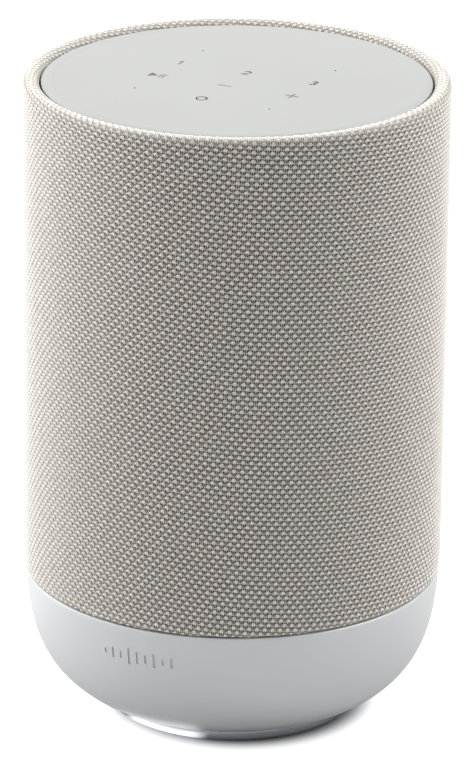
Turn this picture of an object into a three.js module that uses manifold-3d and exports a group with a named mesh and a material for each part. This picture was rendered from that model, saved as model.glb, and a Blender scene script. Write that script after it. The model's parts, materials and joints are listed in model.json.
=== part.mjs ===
// A smart speaker: a fabric-covered cylinder on a bowl-shaped base, with a touch panel on top.
// Millimetres, +Z up, front towards -Y. The origin is the centre of the underside of the foot pad.
import * as THREE from "three";
import { mergeVertices } from "three/addons/utils/BufferGeometryUtils.js";
import Module from "manifold-3d";

const wasm = await Module();
wasm.setup();

// Driving dimensions
const OUTER_R = 70; // fabric
const PANEL_TOP = 218.7; // upper face of the touch panel
const SEAM_Z = 49.8; // line where the fabric meets the bowl
const GAP = 0.3; // clearance between neighbouring pieces

const FABRIC_THICK = 1.2;
const FRAME_THICK = 2.2;
const CABINET_WALL = 3;
const BOWL_WALL = 2.4;

const PANEL_R = 64;
const PANEL_THICK = 2.2;
const PANEL_BEVEL = 1.1;
const KEY_PITCH = 24.4; // from the middle column of touch keys to the next one
const MIC_BACK_Y = 23.4;
const MIC_FRONT_Y = -25.4;
const MIC_HOLE_R = 0.5;
const BOARD_R = 60.6;
const LIP_R = 64.5; // inner edge of the fabric where it dips beside the panel
const LIP_Z = PANEL_TOP - 3.2;
const CREST_R = 67.6; // highest line of the rounded rim
const CREST_Z = PANEL_TOP + 0.8;
const SHOULDER_DROP = 2.4; // height of the rim's round on its outer side
const LIP_DROP = 2; // height of the rim's round on the panel's side
const HEM_THICK = 0.85;

const PAD_R = 37.6;
const PAD_THICK = 1.5;
const PLATE_R = 37.9;
const PLATE_THICK = 2.5;
const RING_R = 42.5;
const RING_INNER_R = 38.2;
const RING_BOTTOM = 1.15;
const BOWL_BOTTOM = 4.62;
const BOWL_HOLE_R = 30;
const BOWL_FOOT_R = 42.7;
const LEDGE_R = 62; // shelf inside the top of the bowl
const LEDGE_THICK = 2;
const SCREW_HOLE_R = 1.6;
const WINDOW_COLUMNS = 8; // openings in the frame behind the fabric
const WINDOW_HALF_WIDTH = 19;
const WINDOW_ROWS = [[58, 126], [132, 200]];

const WOOFER_Z = 104;
const WOOFER_HOLE_R = 44;
const WOOFER_FLANGE_R = 50;
const WOOFER_SCREW_R = 46.8;
const BAFFLE_Y = -39;
const BAFFLE_TOP = 157;
const TWEETER_Z = 181;
const TWEETER_ANGLE = 45;
const TWEETER_FACE = 50.5; // distance of a tweeter's flat from the speaker's axis
const TWEETER_HOLE_R = 14;

const CABINET_BOTTOM = SEAM_Z + GAP / 2;
const CABINET_TOP = 204;
const LID_TOP = 208.4;

const IO_FACE_Y = 52.7; // outer face of the connector panel
const IO_PLATE = 2;
const IO_HALF_WIDTH = 24;
const IO_LOW = 16.5;
const IO_HIGH = 45.5;
const IO_RIM = 1.6;
const IO_CORNER = 3;
const INLET = { x: 0, z: 25.5 };
const AUX = { x: -16.4, z: 24.5 };
const USB = { x: 16.6, z: 24.5 };
const BUTTON = { x: -14, z: 38 };
const SWITCH = { x: 11.5, z: 38, travel: 2.6 };
const IO_SCREW = { x: 19.8, z: 31.6 };

const LARGE = 40; // segments round the big pieces
const MEDIUM = 24;
const SMALL = 12;

// The bowl's outline, from above the seam down to the foot: r 70 bends smoothly under to the foot's edge.
const outline = new THREE.CubicBezierCurve(
  new THREE.Vector2(OUTER_R, SEAM_Z + 14.95),
  new THREE.Vector2(OUTER_R, SEAM_Z - 13.58),
  new THREE.Vector2(OUTER_R - 0.38, SEAM_Z - 35.66),
  new THREE.Vector2(BOWL_FOOT_R, BOWL_BOTTOM),
);

// Materials
function paint(color, roughness, metalness = 0) {
  return new THREE.MeshStandardMaterial({ color, roughness, metalness });
}

const panelPaint = () => paint(0xd6d7d3, 0.55);
const fabricCloth = () => paint(0xb9b3aa, 0.95);
const bowlPaint = () => paint(0xb9babb, 0.4, 0.3);
const polishedMetal = () => paint(0xd8dadc, 0.12, 1);
const softRubber = () => paint(0x3c3d3f, 0.9);
const darkPlastic = () => paint(0x2b2c2e, 0.6);
const greyPlastic = () => paint(0x8d8f90, 0.6);
const steel = () => paint(0xa7a9ab, 0.35, 1);
const brass = () => paint(0xc9a868, 0.3, 1);
const ferrite = () => paint(0x2e2e30, 0.75);
const circuitBoard = () => paint(0x1f5a3c, 0.5);
const paperCone = () => paint(0x232325, 0.85);
const silkDome = () => paint(0x3a3634, 0.8);
const copperWire = () => paint(0xb87440, 0.35, 1);
const spiderCloth = () => paint(0xc7a15a, 0.9);
const aluminium = () => paint(0xb4b6b8, 0.4, 1);

// A geometry as a solid, with its shared vertices merged and its empty triangles left out.
function solid(geometry) {
  const bare = geometry.index ? geometry.toNonIndexed() : geometry.clone();
  bare.deleteAttribute("normal");
  bare.deleteAttribute("uv");
  const merged = mergeVertices(bare, 1e-4);
  const index = merged.index.array;
  const triangles = [];
  for (let i = 0; i < index.length; i += 3) {
    const [a, b, c] = [index[i], index[i + 1], index[i + 2]];
    if (a !== b && b !== c && c !== a) triangles.push(a, b, c);
  }
  return new wasm.Manifold(
    new wasm.Mesh({
      numProp: 3,
      vertProperties: merged.attributes.position.array,
      triVerts: new Uint32Array(triangles),
    }),
  );
}

const root = new THREE.Group();

// Adds a solid to the model, or to one of its turned groups, as a named mesh.
function add(name, made, material, group = root) {
  const shape = made.getMesh();
  const geometry = new THREE.BufferGeometry();
  geometry.setAttribute("position", new THREE.BufferAttribute(shape.vertProperties, 3));
  geometry.setIndex(new THREE.BufferAttribute(shape.triVerts, 1));
  geometry.computeVertexNormals();
  const mesh = new THREE.Mesh(geometry, material);
  mesh.name = name;
  group.add(mesh);
}

// A solid of revolution about +Z from its outline as [radius, height] points, in either direction.
function turned(points, segments = LARGE) {
  const open = points[0][0] === 0 && points.at(-1)[0] === 0;
  const loop = open ? points : [...points, points[0]];
  let area = 0;
  points.forEach(([r, z], i) => {
    const [nextR, nextZ] = points[(i + 1) % points.length];
    area += r * nextZ - nextR * z;
  });
  const ordered = area > 0 ? loop : [...loop].reverse();
  const profile = ordered.map(([r, z]) => new THREE.Vector2(r, z));
  return solid(new THREE.LatheGeometry(profile, segments).rotateX(Math.PI / 2));
}

// A plain ring between two radii and two heights.
function ring(innerR, outerR, low, high, segments = LARGE) {
  return turned([[innerR, low], [outerR, low], [outerR, high], [innerR, high]], segments);
}

// A solid disc about the Z axis, between two heights.
function disc(r, low, high, segments = LARGE) {
  return turned([[0, low], [r, low], [r, high], [0, high]], segments);
}

// A cylinder on the x, y place given, between two heights.
function post(x, y, r, low, high, segments = SMALL) {
  const geometry = new THREE.CylinderGeometry(r, r, high - low, segments);
  return solid(geometry.rotateX(Math.PI / 2).translate(x, y, (low + high) / 2));
}

// A box between two corners.
function block(low, high) {
  const size = high.map((h, i) => h - low[i]);
  const middle = high.map((h, i) => (h + low[i]) / 2);
  return solid(new THREE.BoxGeometry(...size).translate(...middle));
}

// A box turned about the Z axis by an angle in degrees.
function turnedBlock(low, high, degrees) {
  const size = high.map((h, i) => h - low[i]);
  const middle = high.map((h, i) => (h + low[i]) / 2);
  const geometry = new THREE.BoxGeometry(...size).translate(...middle);
  return solid(geometry.rotateZ(THREE.MathUtils.degToRad(degrees)));
}

// A rounded rectangle centred on x, z and pushed through from y nearY to y farY.
function roundedSlot(x, z, width, height, corner, nearY, farY, cornerSteps = 3) {
  const [w, h] = [width / 2 - corner, height / 2 - corner];
  const shape = new THREE.Shape();
  shape.absarc(w, h, corner, 0, Math.PI / 2);
  shape.absarc(-w, h, corner, Math.PI / 2, Math.PI);
  shape.absarc(-w, -h, corner, Math.PI, 1.5 * Math.PI);
  shape.absarc(w, -h, corner, 1.5 * Math.PI, 2 * Math.PI);
  const settings = { depth: farY - nearY, bevelEnabled: false, curveSegments: cornerSteps };
  const geometry = new THREE.ExtrudeGeometry(shape, settings);
  return solid(geometry.rotateX(Math.PI / 2).translate(x, farY, z));
}

// A round bar along Y, centred on x, z.
function bar(x, z, r, nearY, farY, segments = SMALL) {
  const geometry = new THREE.CylinderGeometry(r, r, farY - nearY, segments);
  return solid(geometry.translate(x, (nearY + farY) / 2, z));
}

const joined = (first, ...others) => others.reduce((sum, other) => sum.add(other), first);
const cut = (first, ...others) => others.reduce((rest, other) => rest.subtract(other), first);

// Points round a circle at equal angles, starting at an angle in degrees.
function around(count, radius, start = 0) {
  return Array.from({ length: count }, (_, i) => {
    const angle = THREE.MathUtils.degToRad(start + (360 * i) / count);
    return [radius * Math.cos(angle), radius * Math.sin(angle)];
  });
}

// Points on an arc about a centre, between two angles in degrees, with its own radius in each direction.
function arc([r, z], radii, from, to, steps) {
  return Array.from({ length: steps + 1 }, (_, i) => {
    const angle = THREE.MathUtils.degToRad(from + ((to - from) * i) / steps);
    return [r + radii[0] * Math.cos(angle), z + radii[1] * Math.sin(angle)];
  });
}

// The part of the outline between two heights, moved inwards along its normals.
function outlinePoints(high, low, inwards, steps) {
  const at = (height) => {
    let [above, below] = [0, 1];
    for (let i = 0; i < 40; i += 1) {
      const middle = (above + below) / 2;
      if (outline.getPoint(middle).y > height) above = middle;
      else below = middle;
    }
    return (above + below) / 2;
  };
  const [first, last] = [at(high), at(low)];
  return Array.from({ length: steps + 1 }, (_, i) => {
    const t = first + ((last - first) * i) / steps;
    const point = outline.getPoint(t);
    const tangent = outline.getTangent(t);
    return [point.x + inwards * tangent.y, point.y - inwards * tangent.x];
  });
}

// A screw along Z: a cylindrical head, and a shank that runs from it to the height shankEnd.
function screw(x, y, headLow, headHigh, headR, shankEnd, shankR) {
  const middle = (headLow + headHigh) / 2;
  const [low, high] = [Math.min(shankEnd, middle), Math.max(shankEnd, middle)];
  return joined(post(x, y, headR, headLow, headHigh), post(x, y, shankR, low, high, 8));
}

// Top: the panel, its board, microphones and carrier
const MIC_PLACES = [-KEY_PITCH, KEY_PITCH].flatMap((x) => [[x, MIC_BACK_Y], [x, MIC_FRONT_Y]]);
const MIC_SIZE = [3.8, 3, 1.1];
const BOARD_THICK = 1.6;
const BOARD_TOP = PANEL_TOP - PANEL_THICK - MIC_SIZE[2] - 2 * GAP;
const CARRIER_LOW = LID_TOP + GAP;
const CARRIER_FLOOR = 2;
const CARRIER_WELL_R = 57;

function touchPanel() {
  const low = PANEL_TOP - PANEL_THICK;
  const plate = turned([
    [0, low], [PANEL_R - GAP, low], [PANEL_R, low + GAP], [PANEL_R, PANEL_TOP - 0.7 * PANEL_BEVEL],
    [PANEL_R - 0.3 * PANEL_BEVEL, PANEL_TOP - 0.3 * PANEL_BEVEL], [PANEL_R - PANEL_BEVEL, PANEL_TOP],
    [0, PANEL_TOP],
  ]);
  const holes = MIC_PLACES.map(([x, y]) => post(x, y, MIC_HOLE_R, low - 1, PANEL_TOP + 1, 8));
  add("touch_panel", cut(plate, ...holes), panelPaint());
}

function touchBoard() {
  add("touch_board", disc(BOARD_R, BOARD_TOP - BOARD_THICK, BOARD_TOP), circuitBoard());
  const [width, depth, height] = MIC_SIZE;
  MIC_PLACES.forEach(([x, y], i) => {
    const low = [x - width / 2, y - depth / 2, BOARD_TOP + GAP];
    const high = [x + width / 2, y + depth / 2, BOARD_TOP + GAP + height];
    add(`microphone_${i + 1}`, block(low, high), steel());
  });
}

function topCarrier() {
  const top = PANEL_TOP - PANEL_THICK - GAP;
  const shelf = BOARD_TOP - BOARD_THICK - GAP;
  const recess = BOARD_R + GAP;
  const floor = CARRIER_LOW + CARRIER_FLOOR;
  add("top_carrier", turned([
    [0, CARRIER_LOW], [PANEL_R, CARRIER_LOW], [PANEL_R, top], [recess, top], [recess, shelf],
    [CARRIER_WELL_R, shelf], [CARRIER_WELL_R, floor], [0, floor],
  ]), greyPlastic());
}

// Skin: the fabric and the slotted frame under it
function fabricSleeve() {
  const outside = [
    ...outlinePoints(SEAM_Z + 14.9, SEAM_Z + GAP / 2, 0, 2).reverse(),
    ...arc([CREST_R, CREST_Z - SHOULDER_DROP], [OUTER_R - CREST_R, SHOULDER_DROP], 0, 90, 4),
    ...arc([CREST_R, CREST_Z - LIP_DROP], [CREST_R - LIP_R, LIP_DROP], 120, 180, 2),
    [LIP_R, LIP_Z],
  ];
  const inner = OUTER_R - FABRIC_THICK;
  const inside = [
    [LIP_R + FABRIC_THICK, LIP_Z],
    [LIP_R + FABRIC_THICK, CREST_Z - LIP_DROP],
    ...arc([CREST_R, CREST_Z - SHOULDER_DROP], [inner - CREST_R, SHOULDER_DROP - FABRIC_THICK], 90, 0, 2),
    [inner, SEAM_Z + 15],
    [outside[0][0] - HEM_THICK, SEAM_Z + GAP / 2],
  ];
  add("fabric_sleeve", turned([...outside, ...inside]), fabricCloth());
}

function grilleFrame() {
  const outer = OUTER_R - FABRIC_THICK - GAP;
  const inner = outer - FRAME_THICK;
  const bead = LIP_R + FABRIC_THICK + GAP;
  const top = CREST_Z - FABRIC_THICK - 0.5;
  const beadTop = CREST_Z - LIP_DROP - 0.35;
  const tube = turned([
    [inner, CABINET_BOTTOM], [outer - 0.25, CABINET_BOTTOM], [outer, SEAM_Z + 15],
    [outer, CREST_Z - SHOULDER_DROP - GAP], [CREST_R + GAP, top], [bead, beadTop],
    [bead, LIP_Z - GAP], [PANEL_R + 0.4, LIP_Z - GAP], [PANEL_R + 0.4, LID_TOP + 0.6],
    [inner, LID_TOP + 0.6],
  ]);
  const [half, reach] = [WINDOW_HALF_WIDTH, 5];
  const windows = WINDOW_ROWS.flatMap(([low, high]) =>
    Array.from({ length: WINDOW_COLUMNS }, (_, i) =>
      turnedBlock([inner - reach, -half, low], [outer + reach, half, high], (360 * i) / WINDOW_COLUMNS),
    ),
  );
  add("grille_frame", cut(tube, ...windows), darkPlastic());
}

// Base: the bowl, the foot ring, the plate that closes it, and the pad
const BASE_SCREWS = around(4, 33.5, 45);

function baseBowl() {
  const top = SEAM_Z - GAP / 2;
  const ledgeLow = top - LEDGE_THICK;
  const wall = turned([
    [LEDGE_R, top],
    ...outlinePoints(top, BOWL_BOTTOM, 0, 7),
    [BOWL_HOLE_R, BOWL_BOTTOM],
    [BOWL_HOLE_R, BOWL_BOTTOM + BOWL_WALL],
    [BOWL_FOOT_R - 2, BOWL_BOTTOM + BOWL_WALL],
    ...outlinePoints(ledgeLow - 4, BOWL_BOTTOM + 3, BOWL_WALL, 4).reverse(),
    [LEDGE_R, ledgeLow],
  ]);
  const width = 2 * (IO_HALF_WIDTH + GAP);
  const height = IO_HIGH - IO_LOW + 2 * GAP;
  const corner = IO_CORNER + GAP;
  const opening = roundedSlot(0, (IO_LOW + IO_HIGH) / 2, width, height, corner, 40, OUTER_R + 5);
  const holes = BASE_SCREWS.map(([x, y]) => post(x, y, SCREW_HOLE_R, BOWL_BOTTOM - 1, BOWL_BOTTOM + 4, 8));
  add("base_bowl", cut(wall, opening, ...holes), bowlPaint());
}

function foot() {
  const ringTop = BOWL_BOTTOM - GAP;
  add("foot_ring", turned([
    [RING_INNER_R, RING_BOTTOM], [RING_R - 0.5, RING_BOTTOM], [RING_R, RING_BOTTOM + 0.5],
    [RING_R, ringTop], [RING_INNER_R, ringTop],
  ]), polishedMetal());
  const plateLow = PAD_THICK + GAP;
  const plateHigh = plateLow + PLATE_THICK;
  const headR = 2.8;
  const headHigh = plateLow + 1.1;
  const holes = BASE_SCREWS.flatMap(([x, y]) => [
    post(x, y, SCREW_HOLE_R, plateLow - 1, plateHigh + 1, 8),
    post(x, y, headR + GAP, plateLow - 1, headHigh + GAP, SMALL),
  ]);
  add("base_plate", cut(disc(PLATE_R, plateLow, plateHigh), ...holes), darkPlastic());
  BASE_SCREWS.forEach(([x, y], i) => {
    const shankR = SCREW_HOLE_R - GAP;
    add(`base_screw_${i + 1}`, screw(x, y, plateLow, headHigh, headR, 10, shankR), steel());
  });
  add("foot_pad", turned([
    [0, 0], [PAD_R - 0.5, 0], [PAD_R, 0.5], [PAD_R, PAD_THICK], [0, PAD_THICK],
  ]), softRubber());
}

// Electronics inside the bowl
const POWER_BOARD = { r: 50, z: 12 };
const MAIN_BOARD = { r: 59, z: 41.6 };
const STANDOFF_PLACES = [[-38, 12], [38, 12], [0, -42]];
const FIN = { count: 7, pitch: 8, halfThick: 1, height: 5.5 };

function baseElectronics() {
  const board = ({ r, z }) => disc(r, z, z + BOARD_THICK, MEDIUM);
  add("power_board", board(POWER_BOARD), circuitBoard());
  const floor = POWER_BOARD.z + BOARD_THICK + GAP;
  const core = block([-32, -20, floor + 3], [-6, 4, floor + 19]);
  const windings = block([-28, -23, floor], [-10, 7, floor + 22]);
  add("transformer", joined(core, windings), ferrite());
  add("mains_capacitor", turned([
    [0, floor], [9, floor], [9, floor + 24], [8, floor + 25], [0, floor + 25],
  ], SMALL).translate([20, -14, 0]), darkPlastic());
  const edge = block([-OUTER_R, 43, MAIN_BOARD.z - 1], [OUTER_R, OUTER_R, MAIN_BOARD.z + BOARD_THICK + 1]);
  add("main_board", cut(board(MAIN_BOARD), edge), circuitBoard());
  STANDOFF_PLACES.forEach(([x, y], i) => {
    add(`board_standoff_${i + 1}`, post(x, y, 2.5, floor, MAIN_BOARD.z - GAP, 6), brass());
  });
  const sinkLow = MAIN_BOARD.z + BOARD_THICK + GAP;
  const fins = Array.from({ length: FIN.count }, (_, i) => {
    const x = FIN.pitch * (i - (FIN.count - 1) / 2);
    return block([x - FIN.halfThick, -20, sinkLow + 1], [x + FIN.halfThick, 14, sinkLow + FIN.height]);
  });
  add("heatsink", joined(block([-25, -20, sinkLow], [25, 14, sinkLow + 1.8]), ...fins), aluminium());
}

// Connector panel: a tray let into the back of the bowl, trimmed flush with the bowl's skin
function connectorTray() {
  const middle = (IO_LOW + IO_HIGH) / 2;
  const [width, height] = [2 * IO_HALF_WIDTH, IO_HIGH - IO_LOW];
  const inside = IO_FACE_Y - IO_PLATE;
  const outer = roundedSlot(0, middle, width, height, IO_CORNER, inside, OUTER_R + 3);
  const pocket = roundedSlot(
    0, middle, width - 2 * IO_RIM, height - 2 * IO_RIM, IO_CORNER - 1.2, IO_FACE_Y, OUTER_R + 5,
  );
  const skin = turned([
    [0, SEAM_Z + 5],
    ...outlinePoints(SEAM_Z + 5, BOWL_BOTTOM, 0.25, 14), // a little inside the bowl's skin
    [0, BOWL_BOTTOM],
  ]);
  const [near, far] = [inside - 1, IO_FACE_Y + 1];
  const slotCentre = SWITCH.x + SWITCH.travel / 2;
  const tray = cut(
    outer.subtract(pocket).intersect(skin),
    roundedSlot(INLET.x, INLET.z, 18.6, 12, 2, near, far),
    bar(AUX.x, AUX.z, 3.2, near, far),
    roundedSlot(USB.x, USB.z, 9.6, 3.9, 1.9, near, far),
    bar(BUTTON.x, BUTTON.z, 4, near, far, 20),
    roundedSlot(slotCentre, SWITCH.z, 5 + SWITCH.travel, 3.2, 0.3, near, far, 1),
    bar(IO_SCREW.x, IO_SCREW.z, 1.3, near, far, 8),
    bar(-IO_SCREW.x, IO_SCREW.z, 1.3, near, far, 8),
  );
  add("rear_io_panel", tray, darkPlastic());
}

function mainsInlet() {
  const face = IO_FACE_Y + 1.4;
  const back = 38;
  const socketEnd = 41;
  const body = joined(
    roundedSlot(INLET.x, INLET.z, 18, 11.4, 1.7, back, face - 0.5),
    roundedSlot(INLET.x, INLET.z, 20.6, 13.6, 2.5, IO_FACE_Y + GAP, face),
  );
  const [half, lobe] = [3, 4.1];
  const socket = joined(
    bar(INLET.x - half, INLET.z, lobe, socketEnd, face + 1),
    bar(INLET.x + half, INLET.z, lobe, socketEnd, face + 1),
    block([INLET.x - half, socketEnd, INLET.z - 3.5], [INLET.x + half, face + 1, INLET.z + 3.5]),
  );
  const pins = [["left", INLET.x - 4.3], ["right", INLET.x + 4.3]];
  const pinR = 1.2;
  const pinHoles = pins.map(([, x]) => bar(x, INLET.z, pinR + GAP, back - 1, socketEnd + 1, 10));
  add("power_inlet", cut(body, socket, ...pinHoles), darkPlastic());
  pins.forEach(([side, x]) => {
    add(`inlet_pin_${side}`, bar(x, INLET.z, pinR, back - 4, face - 2.6, 10), steel());
  });
}

function smallConnectors() {
  const auxBody = joined(
    bar(AUX.x, AUX.z, 2.9, 40, IO_FACE_Y + 0.6),
    bar(AUX.x, AUX.z, 3.9, IO_FACE_Y + GAP, IO_FACE_Y + 1),
  );
  add("aux_jack", cut(auxBody, bar(AUX.x, AUX.z, 1.8, 42, IO_FACE_Y + 2)), steel());
  const usbBack = 46;
  const shell = roundedSlot(USB.x, USB.z, 9, 3.3, 1.6, usbBack - 1, IO_FACE_Y + 0.2);
  const mouth = roundedSlot(USB.x, USB.z, 8.3, 2.6, 1.25, usbBack, IO_FACE_Y + 1);
  add("usb_c_port", cut(shell, mouth), steel());
  const tongueLow = [USB.x - 3.3, usbBack + GAP, USB.z - 0.35];
  const tongueHigh = [USB.x + 3.3, IO_FACE_Y - 0.8, USB.z + 0.35];
  add("usb_c_tongue", block(tongueLow, tongueHigh), darkPlastic());
  [["left", -IO_SCREW.x], ["right", IO_SCREW.x]].forEach(([side, x]) => {
    const head = bar(x, IO_SCREW.z, 2.1, IO_FACE_Y + GAP, IO_FACE_Y + 1.4);
    add(`io_screw_${side}`, joined(head, bar(x, IO_SCREW.z, 1, 44, IO_FACE_Y + 1, 8)), steel());
  });
}

function controls() {
  const behind = IO_FACE_Y - IO_PLATE - GAP;
  const proud = IO_FACE_Y + 1.2;
  const cap = joined(
    bar(BUTTON.x, BUTTON.z, 3.7, behind - 1, proud, 20),
    bar(BUTTON.x, BUTTON.z, 4.8, behind - 1.9, behind, 20),
  );
  add("pairing_button", cap, greyPlastic());
  const knob = joined(
    block([SWITCH.x - 2.2, behind - 1, SWITCH.z - 1.3], [SWITCH.x + 2.2, proud, SWITCH.z + 1.3]),
    block([SWITCH.x - 4, behind - 1.5, SWITCH.z - 2.4], [SWITCH.x + 4, behind, SWITCH.z + 2.4]),
  );
  add("mute_switch", knob, greyPlastic());
}

// Cabinet: a sealed tub with a flat front for the woofer and two flats above it for the tweeters
function cabinetBlank(r, low, high, front, face) {
  const flats = [-TWEETER_ANGLE, TWEETER_ANGLE].map((angle) =>
    turnedBlock([-90, -90, front.top], [90, -face, high + 5], angle),
  );
  const below = block([-90, -90, low - 5], [90, front.y, front.top]);
  return cut(disc(r, low, high), ...flats, below);
}

const CABINET_R = OUTER_R - FABRIC_THICK - GAP - FRAME_THICK - 0.4;
const GASKET_THICK = 0.8;
const SCREW_CLEARANCE_R = 1.7; // holes for the woofer's screws

function cabinet() {
  const walls = { y: BAFFLE_Y, top: BAFFLE_TOP };
  const hollowFront = { y: BAFFLE_Y + CABINET_WALL, top: BAFFLE_TOP - CABINET_WALL };
  const shell = cabinetBlank(CABINET_R, CABINET_BOTTOM, CABINET_TOP, walls, TWEETER_FACE);
  const hollow = (low, high) =>
    cabinetBlank(CABINET_R - CABINET_WALL, low, high, hollowFront, TWEETER_FACE - CABINET_WALL);
  const wooferHole = bar(0, WOOFER_Z, WOOFER_HOLE_R, BAFFLE_Y - 5, BAFFLE_Y + 10, MEDIUM);
  const screwHoles = around(4, WOOFER_SCREW_R, 45).map(([x, z]) =>
    bar(x, WOOFER_Z + z, SCREW_CLEARANCE_R, BAFFLE_Y - 5, BAFFLE_Y + 10, 8),
  );
  const tweeterHoles = [-TWEETER_ANGLE, TWEETER_ANGLE].map((angle) => {
    const hole = new THREE.CylinderGeometry(TWEETER_HOLE_R, TWEETER_HOLE_R, 20, MEDIUM);
    hole.translate(0, -TWEETER_FACE, TWEETER_Z);
    return solid(hole.rotateZ(THREE.MathUtils.degToRad(angle)));
  });
  const tub = cut(
    shell, hollow(CABINET_BOTTOM + CABINET_WALL, CABINET_TOP + 5),
    wooferHole, ...screwHoles, ...tweeterHoles,
  );
  add("cabinet_body", tub, darkPlastic());

  const above = { y: -90, top: CABINET_TOP - 10 };
  const layer = (r, low, high, face) => cabinetBlank(r, low, high, above, face);
  const gasketLow = CABINET_TOP + GAP;
  const gasketHigh = gasketLow + GASKET_THICK;
  const gasket = cut(
    layer(CABINET_R, gasketLow, gasketHigh, TWEETER_FACE),
    layer(CABINET_R - CABINET_WALL, gasketLow - 1, gasketHigh + 1, TWEETER_FACE - CABINET_WALL),
  );
  add("cabinet_gasket", gasket, softRubber());
  add("cabinet_lid", layer(CABINET_R, gasketHigh + GAP, LID_TOP, TWEETER_FACE), darkPlastic());
}

// Woofer, drawn about its own axis: +Z is forwards and 0 is the front of the cabinet's baffle
function woofer() {
  const axis = new THREE.Group();
  axis.position.set(0, BAFFLE_Y, WOOFER_Z);
  axis.rotation.x = Math.PI / 2;
  root.add(axis);
  const screws = around(4, WOOFER_SCREW_R, 45);
  const through = (low, high) => screws.map(([x, y]) => post(x, y, SCREW_CLEARANCE_R, low, high, 8));

  const gasket = ring(WOOFER_HOLE_R, 49.6, GAP, GAP + GASKET_THICK, MEDIUM);
  add("woofer_gasket", cut(gasket, ...through(-1, 3)), softRubber(), axis);

  const basket = turned([
    [WOOFER_FLANGE_R, 1.4], [WOOFER_FLANGE_R, 3.4], [39.5, 3.4], [39.5, 1.8], [41.3, 0.8],
    [41.3, -2], [27.4, -19.7], [20, -19.7], [20, -21.5], [28.5, -21.5], [43.1, -2.8], [43.1, 1.4],
  ], MEDIUM);
  const spokeGaps = Array.from({ length: 6 }, (_, i) =>
    turnedBlock([24, -10, -18.5], [50, 10, -4.5], 60 * i),
  );
  add("woofer_basket", cut(basket, ...spokeGaps, ...through(0, 5)), steel(), axis);

  add("woofer_surround", turned([
    [42.8, 3.7], [42.8, 4.3],
    ...arc([36.6, 3.9], [3.4, 3.4], 0, 180, 3),
    [30.5, 4.3], [30.5, 3.7],
    ...arc([36.6, 3.7], [2.8, 2.8], 180, 0, 3),
  ], MEDIUM), softRubber(), axis);

  add("woofer_cone", turned([
    [33.2, 3.4], [30.8, 3.4], [14.2, -8.4], [14.2, -9.2], [31.1, 2.7], [33.2, 2.7],
  ], MEDIUM), paperCone(), axis);

  add("woofer_dust_cap", turned([
    [0, -3.2], ...arc([0, -7.1], [14.8, 3.9], 70, 0, 2),
    ...arc([0, -7.1], [15.6, 4.6], 0, 70, 2), [0, -2.5],
  ], MEDIUM), paperCone(), axis);

  add("woofer_voice_coil", ring(12.7, 13.5, -27, -8, MEDIUM), copperWire(), axis);

  const waves = Array.from({ length: 6 }, (_, i) => [14 + (17.4 * i) / 5, i % 2 ? 0.8 : 0]);
  add("woofer_spider", turned([
    ...waves.map(([r, h]) => [r, -13.6 + h]),
    ...waves.map(([r, h]) => [r, -14.1 + h]).reverse(),
  ], MEDIUM), spiderCloth(), axis);

  add("woofer_top_plate", ring(14.1, 29, -25.8, -21.8, MEDIUM), steel(), axis);
  add("woofer_magnet", ring(17, 34, -38, -26.1, MEDIUM), ferrite(), axis);
  add("woofer_yoke", turned([
    [0, -43], [32, -43], [32, -38.3], [12.2, -38.3], [12.2, -22], [0, -22],
  ], MEDIUM), steel(), axis);

  screws.forEach(([x, y], i) => {
    add(`woofer_screw_${i + 1}`, screw(x, y, 3.7, 5.2, 2.6, -6, SCREW_CLEARANCE_R - GAP), steel(), axis);
  });
}

// Tweeters, drawn the same way on their flats at the left and right front
function tweeter(side, angle) {
  const heading = new THREE.Group();
  heading.rotation.z = THREE.MathUtils.degToRad(angle);
  const axis = new THREE.Group();
  axis.position.set(0, -TWEETER_FACE, TWEETER_Z);
  axis.rotation.x = Math.PI / 2;
  heading.add(axis);
  root.add(heading);

  add(`tweeter_plate_${side}`, turned([
    [12.3, GAP], [20, GAP], [20, 2.3], [15.5, 2.3], [12.3, 1],
  ], MEDIUM), darkPlastic(), axis);

  add(`tweeter_dome_${side}`, turned([
    [0, 4.1], ...arc([0, 0.1], [9.2, 4], 70, 0, 3), [9.7, 0], [9.7, -3], [10.1, -3], [10.1, 0],
    [11.8, 0], [11.8, 0.4], ...arc([0, 0.4], [9.6, 4.2], 0, 70, 3), [0, 4.6],
  ], SMALL), silkDome(), axis);

  add(`tweeter_motor_${side}`, turned([
    [0, -12], [13.4, -12], [13.4, -0.4], [10.6, -0.4], [10.6, -6], [9.2, -6], [9.2, -0.4], [0, -0.4],
  ], SMALL), ferrite(), axis);
}

touchPanel();
touchBoard();
topCarrier();
fabricSleeve();
grilleFrame();
baseBowl();
foot();
baseElectronics();
connectorTray();
mainsInlet();
smallConnectors();
controls();
cabinet();
woofer();
tweeter("left", -TWEETER_ANGLE);
tweeter("right", TWEETER_ANGLE);

export default root;
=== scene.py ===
"""A fabric-covered smart speaker on a bowl-shaped base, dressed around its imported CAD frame.

Metres, +Z up, front -Y.
"""

import json
import math

import bpy
import numpy as np
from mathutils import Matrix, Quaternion, Vector


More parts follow.
